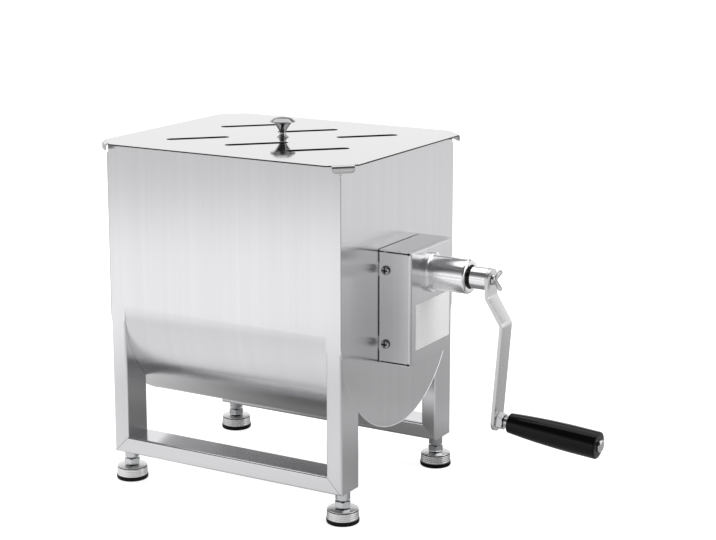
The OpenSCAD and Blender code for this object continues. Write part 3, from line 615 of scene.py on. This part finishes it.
def lid_sheet():
    """The lid's flat sheet with its slots; its upright cut edges and slot walls get the near-black painted
    shade finish.
    """
    x, y, c = lid_high.x, lid_high.y, LID_CORNER
    outline = [(-x, c - y), (c - x, -y), (x - c, -y), (x, c - y),
               (x, y - c), (x - c, y), (c - x, y), (-x, y - c)]
    slots = [slot_outline(k * SLOT_PITCH, row * SLOT_ROW) for k in (-1, 0, 1) for row in (-1, 1)]
    bm = sheet([outline, *slots, ring(KNOB_HOLE / 2)], LID_T)
    # Painted shade: the upright cut faces and slot walls take the second, near-black finish
    for face in bm.faces:
        face.material_index = int(abs(face.normal.z) < UPRIGHT_FACE)
    return placed(soften(bm, LID_EDGE, 2), (0, 0, lid_z))


def lid_flap(side, back):
    """The flap that is folded down at a corner of the lid."""
    half = FLAP_W / 2
    outline = rounded([(0, -half, 0), (FLAP_L, -half, FLAP_R), (FLAP_L, half, FLAP_R), (0, half, 0)])
    flat = soften(sheet([outline], LID_T), LID_EDGE, 2)
    drop = FLAP_BEND * math.tan((math.pi / 2 - FLAP_LEAN) / 2)
    fold = Vector((drop, 0, 0))
    tip = fold + FLAP_L * Vector((math.sin(FLAP_LEAN), 0, -math.cos(FLAP_LEAN)))
    folded(flat, bends([Vector((0, 0, 0)), fold, tip], FLAP_BEND))
    place = Vector((side * (lid_high.x - LID_CORNER / 2), back * (lid_high.y - LID_CORNER / 2), lid_z)) * MM
    return moved(flat, Matrix.Translation(place) @ Matrix.Rotation(math.atan2(back, side), 4, "Z"))


lid_parts = [lid_sheet()] + [lid_flap(*signs) for signs in CORNERS.values()]
piece("slotted_lid_sheet", lid_parts, "lid", [bright_sheet, painted_shade_edge], "mirror_stainless", "lid", sharp=15)

KNOB_NECK = 2.8
KNOB_FOOT = 6.0
KNOB_FOOT_H = 0.5
KNOB_HOLLOW_H = 2.0
KNOB_FLARE = 0.8
KNOB_FLARE_H = 3.0
KNOB_RIM_R = 0.6
KNOB_RIM_H = 0.5
KNOB_CROWN_OUT = 0.4
KNOB_CROWN_DIP = 0.1
KNOB_CROWN_IN = 0.6
KNOB_CROWN_UP = 0.35
# The step over the rim, as distances in from the cap's edge and up from the rim
KNOB_STEP = [(0.1, 0.8), (0.3, 1.0), (0.6, 1.1)]


def knob_shape(tall, cap):
    """A turned knob: a hollowed foot, a thin neck that flares to a bell, and a rimmed cap with a dome."""
    neck_z, bell_z, rim_z, crown_z = 0.26 * tall, 0.70 * tall, 0.76 * tall, 0.92 * tall
    bell = 0.68 * cap
    crown = 0.7 * cap
    dome = (crown - KNOB_CROWN_IN, crown_z + KNOB_CROWN_UP)
    flare = (KNOB_NECK + KNOB_FLARE, neck_z + KNOB_FLARE_H)
    return spun([
        (0, 0), (KNOB_FOOT, 0),
        *curve((KNOB_FOOT, KNOB_FOOT_H), (KNOB_NECK, KNOB_HOLLOW_H), (KNOB_NECK, neck_z)),
        *curve((KNOB_NECK, neck_z), flare, (bell, bell_z), 20)[1:],
        *curve((cap - KNOB_RIM_R, rim_z), (cap, rim_z), (cap, rim_z + KNOB_RIM_H), 6),
        *curve(*[(cap - inwards, rim_z + up) for inwards, up in KNOB_STEP], 4),
        *curve((crown + KNOB_CROWN_OUT, crown_z - KNOB_CROWN_DIP), (crown, crown_z), dome, 6),
        *curve(dome, (0.5 * crown, tall), (0, tall), 12)[1:],
    ])


low, high = sizes("lid_knob")
knob = placed(knob_shape(high.z - low.z, (high.x - low.x) / 2), (0, 0, low.z))
piece("turned_lid_knob", [knob], "lid", [chromed], "polished_stainless", "lid_knob")


# Crank

BAR_W = 19.0
BAR_T = 3.0
BAR_EDGE = 0.5
BEND_TOP = 14.6
BEND_LOW = 37.2
BEND_STEP = 14.3
BEND_R = 6.5

crank = pivot("crank_turn")
grip_at = pivot("grip_turn")
grip_axis = Vector(joints["grip_turn"]["axis"])
bar_x = sizes("crank_arm")[0].x + BAR_T / 2


def bent_bar():
    """The crank's bar, cut out flat with round ends and then bent along its middle line."""
    path = bends([Vector((bar_x, 0, crank.z)), Vector((bar_x, 0, crank.z - BEND_TOP)),
                  Vector((bar_x + BEND_STEP, 0, crank.z - BEND_LOW)), grip_at], BEND_R)
    length = sum((b - a).length for (a, _), (b, _) in zip(path, path[1:]))
    outline = [(x + (length if x > 0 else 0), y) for x, y in ring(BAR_W / 2, 64)]
    return folded(soften(sheet([outline], BAR_T), BAR_EDGE), path)


piece("bent_crank_bar", [bent_bar()], "crank", [satin_plate], "satin_plated_steel", "crank_arm")

GRIP_START = 11.9
GRIP_L = 82.5
GRIP_SMALL = 8.7
GRIP_SMALL_R = 1.6
GRIP_LARGE = 11.7
GRIP_LARGE_R = 1.8
GRIP_BORE = 4.05
# The swell grows towards one point along the grip and is full at the next, as shares of its length
GRIP_SWELL = 0.34
GRIP_FULL = 0.72
GRIP_SWELL_IN = 0.4
grip = spun([
    (GRIP_BORE, 0),
    *curve((GRIP_SMALL - GRIP_SMALL_R, 0), (GRIP_SMALL, 0), (GRIP_SMALL, GRIP_SMALL_R), 8),
    *curve((GRIP_SMALL, GRIP_SMALL_R), (GRIP_LARGE - GRIP_SWELL_IN, GRIP_SWELL * GRIP_L),
           (GRIP_LARGE, GRIP_FULL * GRIP_L), 24)[1:],
    *curve((GRIP_LARGE, GRIP_L - GRIP_LARGE_R), (GRIP_LARGE, GRIP_L), (GRIP_LARGE - GRIP_LARGE_R, GRIP_L), 8),
    (GRIP_BORE, GRIP_L), (GRIP_BORE, 0),
])
grip = placed(grip, grip_at + GRIP_START * grip_axis, grip_axis)
piece("moulded_grip", [grip], "grip", [phenolic], "black_grip", "grip")

NUT_FLATS = 13.0
NUT_H = 6.4
nut = placed(hexagon(NUT_FLATS, BAR_T / 2, BAR_T / 2 + NUT_H, STUD_D), grip_at, grip_axis)
piece("chamfered_grip_nut", [nut], "crank", [turned_bright], "polished_stainless", "grip_nut")

PIN_D = 12.0
low, high = sizes("pin_lock_nut")
flats = min(high.y - low.y, high.z - low.z)
lock_nut = placed(hexagon(flats, 0, high.x - low.x, PIN_D), (low.x, 0, (low.z + high.z) / 2), (1, 0, 0))
piece("chamfered_lock_nut", [lock_nut], "frame", [turned_bright], "polished_stainless", "pin_lock_nut")

# Thumb screw: two flattened wings on a small boss

WING_L = 9.0
WING_W = 3.2
WING_T = 2.2
WING_EDGE = 0.45
WING_LIFT = math.radians(35)
WING_SEAT = 0.3
# A wing's width and thickness at its root and at its tip, as shares of the full ones
WING_ROOT = (0.9, 1.0)
WING_TIP = (1.25, 0.8)
BOSS_FOOT = 4.4
BOSS_H = 3.2
# The boss's round side from its foot to its top, as (radius, height) points
BOSS_SIDE = [(4.7, 0.6), (4.2, 2.6), (3.0, 2.9)]
THUMB_D = 5.0
THUMB_L = 14.0
THUMB_PITCH = 0.8


def wing(side):
    """One wing, thin and wide at its round tip and lifted off the shaft's end."""
    bm = bmesh.new()
    bmesh.ops.create_cube(bm, size=1.0)
    for vert in bm.verts:
        tip = vert.co.x > 0
        wide, thick = WING_TIP if tip else WING_ROOT
        vert.co.x = (WING_L + WING_W / 2 if tip else 0) * MM
        vert.co.y *= thick * WING_T * MM
        vert.co.z *= wide * WING_W * MM
    ends = [edge for edge in bm.edges if min(v.co.x for v in edge.verts) > 0
            and abs(edge.verts[0].co.y - edge.verts[1].co.y) > MM]
    soften(bevelled(bm, ends, WING_W / 2, 6), WING_EDGE)
    turn = Matrix.Rotation(math.pi if side < 0 else 0.0, 4, "Z") @ Matrix.Rotation(-WING_LIFT, 4, "Y")
    return moved(bm, Matrix.Translation((0, 0, (WING_W / 2 + WING_SEAT) * MM)) @ turn)


boss = spun([(0, WING_SEAT), (BOSS_FOOT, WING_SEAT), *curve(*BOSS_SIDE, 6), (0, BOSS_H)])
thumb = [wing(-1), wing(1), boss, threaded(THUMB_D, THUMB_PITCH, -THUMB_L, THUMB_PITCH)]
thumb_at = pivot("thumb_screw_turn")
for part in thumb:
    placed(part, thumb_at, (1, 0, 0))
piece("winged_thumb_screw", thumb, "thumb_screw", [turned_bright], "polished_stainless", "thumb_screw")


# Pan-head screws in the sides of the gearbox cover

HEAD_D = 8.0
HEAD_H = 2.8
HEAD_EDGE = 0.2
RIM_H = 1.2
CROSS_L = 2.7
CROSS_W = 1.4
CROSS_DEPTH = 1.5
CROSS_SLACK = 0.1
SCREW_D = 4.0
SCREW_PITCH = 0.7
SCREW_L = 4.4
SCREW_RISE = 32.4
# A face lies on top of the head where its normal rises more than this
TOP_FACE = 0.7


def pan_screw():
    """A domed head with a cross recess, its drive and lower rim painted near-black as shade, on a threaded
    shank.
    """
    rim = HEAD_D / 2
    dome, crown = 0.68 * rim, 0.3 * rim
    side_z, dome_z, cross_z, drive_z = 0.8 * HEAD_H, 0.92 * HEAD_H, 0.95 * HEAD_H, 0.9 * HEAD_H
    bm = spun([
        (0, 0), (rim - HEAD_EDGE, 0), *curve((rim, HEAD_EDGE), (rim, side_z), (dome, dome_z), 10),
        (CROSS_L, cross_z), (crown, HEAD_H), (0, HEAD_H),
    ])
    for way in (Vector((1, 0, 0)), Vector((0, 1, 0))):
        for side in (-1, 1):
            cut(bm, side * CROSS_W / 2 * MM * way, way)
    bm.normal_update()
    cross = []
    for face in bm.faces:
        middle = face.calc_center_median() / MM
        in_arm = min(abs(middle.x), abs(middle.y)) < CROSS_W / 2 and middle.xy.length < CROSS_L
        if in_arm and face.normal.z > TOP_FACE:
            cross.append(face)
    edges = list({edge for face in cross for edge in face.edges})
    sunk = bmesh.ops.extrude_face_region(bm, geom=cross + edges)["geom"]
    bmesh.ops.translate(bm, vec=(0, 0, -CROSS_DEPTH * MM), verts=verts_of(sunk))
    bmesh.ops.recalc_face_normals(bm, faces=bm.faces)
    # Painted shade: faces down in the drive and round the lower rim take the second, near-black finish
    for face in bm.faces:
        middle = face.calc_center_median() / MM
        in_drive = middle.z < drive_z and middle.xy.length < CROSS_L + CROSS_SLACK
        face.material_index = int(in_drive or middle.z < RIM_H)
    return [bm, threaded(SCREW_D, SCREW_PITCH, -SCREW_L, SCREW_PITCH)]


low, high = sizes("gearbox_cover")
screw_x = (sizes("cover_screws")[0].x + sizes("cover_screws")[1].x) / 2
cover_screws = []
for side in (-1, 1):
    for up in (-1, 1):
        place = (screw_x, side * high.y, (low.z + high.z) / 2 + up * SCREW_RISE)
        cover_screws += [placed(part, place, (0, side, 0)) for part in pan_screw()]
screw_finish = [screw_steel, screw_painted_shade]
piece("pan_head_cover_screws", cover_screws, "frame", screw_finish, "polished_stainless", "cover_screws")


# Tank and frame seams

WELD_R = 0.6
WELD_SUNK = 0.45
WELD_IN = 0.35
WELD_START = math.radians(8)
SEAM_R = 0.36
SEAM_SUNK = 0.28
SEAM_BELOW = 10.0
TUBE_R = 2.2
MITRE_END = 0.2
MITRE_STEPS = 30
RELIEF_H = 8.0
tank_high = sizes("right_end_plate")[1]
tank_r = tank_high.y
wall_x = tank_high.x
axis_z = pivot("paddle_turn").z


def arc_weld(side):
    """The weld between an end plate and the round bottom, ground nearly flush."""
    x = side * (wall_x - WELD_SUNK)
    reach = tank_r - WELD_IN
    angles = [WELD_START + (math.pi - 2 * WELD_START) * k / TURN_STEPS for k in range(TURN_STEPS + 1)]
    return bead([(x, reach * math.cos(a), axis_z - reach * math.sin(a)) for a in angles], WELD_R)


def corner_weld(side, back):
    """The ground seam down an upright corner of the tank."""
    x, y = side * (wall_x - SEAM_SUNK), back * (tank_r - SEAM_SUNK)
    return bead([(x, y, axis_z - SEAM_BELOW), (x, y, tank_high.z - RELIEF_H)], SEAM_R)


def mitre_weld(side, back):
    """The ground seam of a leg's mitre, which follows the tubes' rounded edges on the outer face."""
    low, high = sizes("front_rail")
    width = high.z - low.z
    points = []
    for k in range(MITRE_STEPS + 1):
        along = MITRE_END + (width - 2 * MITRE_END) * k / MITRE_STEPS
        edge = max(TUBE_R - min(along, width - along), 0)
        inset = TUBE_R - math.sqrt(TUBE_R ** 2 - edge ** 2)
        points.append((side * (wall_x - along), back * (tank_r - inset - SEAM_SUNK), low.z + along))
    return bead(points, SEAM_R)


def leg_blend(corner):
    """The weld that fills the thin wedge between a leg's coped tip and the tank, ground flat."""
    low, high = sizes(f"{corner}_leg")
    back = CORNERS[corner][1]
    bm = line([(low.x, back * tank_r, axis_z), (high.x, back * tank_r, axis_z)])
    sweep = math.asin((axis_z - high.z) / tank_r)
    bmesh.ops.spin(bm, geom=bm.verts[:] + bm.edges[:], cent=(0, 0, axis_z * MM), axis=(-back, 0, 0),
                   angle=sweep, steps=6)
    raised = bmesh.ops.extrude_face_region(bm, geom=bm.faces[:])["geom"]
    for vert in verts_of(raised):
        vert.co.y = back * tank_r * MM
    return closed(bm)


arc_welds = [arc_weld(side) for side in (-1, 1)]
piece("ground_arc_welds", arc_welds, "frame", [upright_brushed], "brushed_stainless")
leg_blends = [leg_blend(corner) for corner in CORNERS]
piece("ground_leg_welds", leg_blends, "frame", [upright_brushed], "brushed_stainless")
corner_welds = [corner_weld(*signs) for signs in CORNERS.values()]
piece("ground_corner_welds", corner_welds, "frame", [ground_weld], "brushed_stainless")
mitre_welds = [mitre_weld(*signs) for signs in CORNERS.values()]
piece("ground_mitre_welds", mitre_welds, "frame", [ground_weld], "brushed_stainless")

# A blank white sticker low on the cover's front

LABEL_Y = (-28.0, 34.0)
LABEL_Z = (142.5, 182.5)
LABEL_T = 0.15
LABEL_R = 1.5


def sticker():
    """The film, turned to face the crank's end."""
    y, z = ((ends[1] - ends[0]) / 2 for ends in (LABEL_Y, LABEL_Z))
    film = sheet([rounded([(-y, -z, LABEL_R), (y, -z, LABEL_R), (y, z, LABEL_R), (-y, z, LABEL_R)])], LABEL_T)
    facing_x = Matrix(((0, 0, 1, 0), (1, 0, 0, 0), (0, 1, 0, 0), (0, 0, 0, 1)))
    place = Vector((sizes("gearbox_cover")[1].x + LABEL_T / 2, sum(LABEL_Y) / 2, sum(LABEL_Z) / 2)) * MM
    return moved(film, Matrix.Translation(place) @ facing_x)


piece("blank_sticker", [sticker()], "frame", [vinyl], "")


# Stage

# The studio that the metal mirrors. To all but camera rays the floor is a glow painted with tones: white in
# front of the mixer and greyer on the camera's side, with painted shadow behind the mixer, under the tank and
# along the front rail. Two tones run in metres along lines at 60 and -30 degrees to X, and each painted shade
# in metres from its own middle.
# The level is a little above white, to make up for the light that a metal takes away.
STUDIO_LEVEL = 1.22
FLOOR_HALF = 20.0
FLOOR_GREY = 0.5
FLOOR_REACH = 2.5
FLOOR_TURN = math.radians(60)
FLOOR_TONES = [(-2.5, 0.66), (-1.7, 0.66), (-1.1, 1.0), (-0.7, 1.0), (-0.55, 0.87), (-0.45, 0.75),
               (-0.2, 0.80), (0.15, 0.51), (0.35, 0.42), (0.5, 0.44), (0.75, 0.55), (1.1, 0.80),
               (1.4, 0.80), (2.5, 0.75)]
SIDE_TURN = math.radians(-30)
SIDE_TONES = [(-2.5, 1.0), (0.22, 1.0), (0.7, 0.64), (0.84, 0.88), (2.5, 0.8)]
SHADE_MIDDLE = (0.03, 0.05, 0)
SHADE_SHAPE = (1.0, 0.67, 1.0)
SHADE_TONES = [(0.03, 0.25), (0.10, 0.33), (0.20, 0.70), (0.28, 1.0)]
RAIL_SHADE_MIDDLE = (0.03, -0.055, 0)
RAIL_SHADE_SHAPE = (3.0, 1.0, 1.0)
RAIL_SHADE_TONES = [(0.01, 0.35), (0.06, 1.0)]
# The floor's own glow to the camera, which fades near the mixer so that its shadow shows
GLOW_TONES = [(0.3, 0.86), (1.2, 1.0)]

# The backdrop's brightness by height, measured along a line that leans to the front and the right
BACKDROP_UP = (0.2, -0.1, 1.0)
BACKDROP_TONES = [(0.0, 0.98), (0.10, 0.97), (0.14, 0.95), (0.22, 0.82), (0.30, 0.45), (0.42, 0.30),
                  (0.50, 0.11), (0.95, 0.11), (1.0, 0.2)]


def lamp(name, size, power, place, target, roll=0.0):
    """A soft lamp at a place, turned to face its target and rolled about that line."""
    data = bpy.data.lights.new(name, "AREA")
    data.shape = "RECTANGLE"
    data.size, data.size_y = size
    data.energy = power
    lamp_object = bpy.data.objects.new(name, data)
    bpy.context.scene.collection.objects.link(lamp_object)
    lamp_object.location = place
    lamp_object.rotation_euler = (Vector(target) - Vector(place)).to_track_quat("-Z", "Y").to_euler()
    lamp_object.rotation_euler.rotate_axis("Z", math.radians(roll))


def make_floor():
    """A wide pale floor. To the camera its own glow makes it white, and it keeps the lamps' shadow; to other
    rays it glows with painted tones and painted shadow.
    """
    bm = bmesh.new()
    bmesh.ops.create_grid(bm, x_segments=1, y_segments=1, size=FLOOR_HALF)
    mesh = bpy.data.meshes.new("floor")
    bm.to_mesh(mesh)
    bm.free()
    floor = bpy.data.objects.new("floor", mesh)
    bpy.context.scene.collection.objects.link(floor)
    material = bpy.data.materials.new("matt_white_floor")
    material.use_nodes = True
    tree = material.node_tree
    tree.nodes.clear()
    place = add(tree, "TexCoord").outputs["Object"]

    def along(turn, tones):
        """Tones by the distance along a line that is turned from X."""
        turned = add(tree, "Mapping", [("Vector", place)], Rotation=(0, 0, -turn))
        parts = add(tree, "SeparateXYZ", [("Vector", turned.outputs["Vector"])])
        share = add(tree, "MapRange", [("Value", parts.outputs["X"])],
                    From_Min=-FLOOR_REACH, From_Max=FLOOR_REACH)
        stops = [(0.5 + 0.5 * t / FLOOR_REACH, grey(level)) for t, level in tones]
        return add(tree, "ValToRGB", [("Fac", share.outputs["Result"])], stops).outputs["Color"]

    def around(middle, shape, tones):
        """Tones by the distance from a middle, stretched along the axes by a shape."""
        scaled = add(tree, "Mapping", [("Vector", place)], vector_type="TEXTURE",
                     Location=middle, Scale=shape)
        away = add(tree, "VectorMath", [(0, scaled.outputs["Vector"])], operation="LENGTH")
        share = add(tree, "MapRange", [("Value", away.outputs["Value"])], From_Max=FLOOR_REACH)
        stops = [(t / FLOOR_REACH, grey(level)) for t, level in tones]
        return add(tree, "ValToRGB", [("Fac", share.outputs["Result"])], stops).outputs["Color"]

    # Painted shadow: the glow that other rays see is darkened under the tank, along the front rail and behind
    # the mixer
    tone = along(FLOOR_TURN, FLOOR_TONES)
    for shade in (along(SIDE_TURN, SIDE_TONES), around(SHADE_MIDDLE, SHADE_SHAPE, SHADE_TONES),
                  around(RAIL_SHADE_MIDDLE, RAIL_SHADE_SHAPE, RAIL_SHADE_TONES)):
        darker = add(tree, "MixRGB", [("Color1", tone), ("Color2", shade)], blend_type="MULTIPLY", Fac=1.0)
        tone = darker.outputs["Color"]
    paint = add(tree, "Emission", [("Color", tone)], Strength=STUDIO_LEVEL)
    matt = add(tree, "BsdfDiffuse", Color=grey(FLOOR_GREY))
    glow = add(tree, "Emission", [("Color", around((0, 0, 0), (1, 1, 1), GLOW_TONES))], Strength=1.0)
    seen = add(tree, "AddShader", [(0, matt.outputs["BSDF"]), (1, glow.outputs["Emission"])])
    rays = add(tree, "LightPath")
    choice = add(tree, "MixShader", [("Fac", rays.outputs["Is Camera Ray"]), (1, paint.outputs["Emission"]),
                                     (2, seen.outputs["Shader"])])
    add(tree, "OutputMaterial", [("Surface", choice.outputs["Shader"])])
    mesh.materials.append(material)


def make_world():
    """White to the camera; to the metal a bright low backdrop, higher at the back, under a dark room."""
    world = bpy.data.worlds.new("studio")
    bpy.context.scene.world = world
    world.use_nodes = True
    tree = world.node_tree
    tree.nodes.clear()
    place = add(tree, "TexCoord")
    height = add(tree, "VectorMath", [(0, place.outputs["Generated"])], operation="DOT_PRODUCT")
    height.inputs[1].default_value = BACKDROP_UP
    stops = [(h, grey(level)) for h, level in BACKDROP_TONES]
    room = add(tree, "ValToRGB", [("Fac", height.outputs["Value"])], stops)
    rays = add(tree, "LightPath")
    glow = add(tree, "Background", [("Color", room.outputs["Color"])], Strength=STUDIO_LEVEL)
    white = add(tree, "Background", Color=grey(1.0), Strength=1.0)
    choice = add(tree, "MixShader", [("Fac", rays.outputs["Is Camera Ray"]), (1, glow.outputs["Background"]),
                                     (2, white.outputs["Background"])])
    add(tree, "OutputWorld", [("Surface", choice.outputs["Shader"])])


make_floor()
make_world()
lamp("overhead_softbox", size=(3.0, 1.9), power=27, place=(0, 0.7, 1.75), target=(0, 0.7, 0), roll=20)
lamp("right_fill", size=(1.6, 1.6), power=12.5, place=(1.8, 0.6, 0.9), target=(0.15, 0, 0.15))

# Camera, from the lines of the tank's edges in the photograph
FRAME_WIDTH = 716
FOCAL_PIXELS = 1800.9
RAISED_PIXELS = 45.0
CAMERA_PLACE = (0.85116, -1.33617, 0.56159)
CAMERA_DOWN = 0.2056
CAMERA_TURN = 0.5250
camera_data = bpy.data.cameras.new("camera")
camera = bpy.data.objects.new("camera", camera_data)
bpy.context.scene.collection.objects.link(camera)
bpy.context.scene.camera = camera
camera_data.sensor_fit = "HORIZONTAL"
camera_data.lens = FOCAL_PIXELS / FRAME_WIDTH * camera_data.sensor_width
camera_data.shift_y = -RAISED_PIXELS / FRAME_WIDTH
camera.location = CAMERA_PLACE
camera.rotation_euler = (math.pi / 2 - CAMERA_DOWN, 0, CAMERA_TURN)

bpy.context.scene.view_settings.view_transform = "Standard"
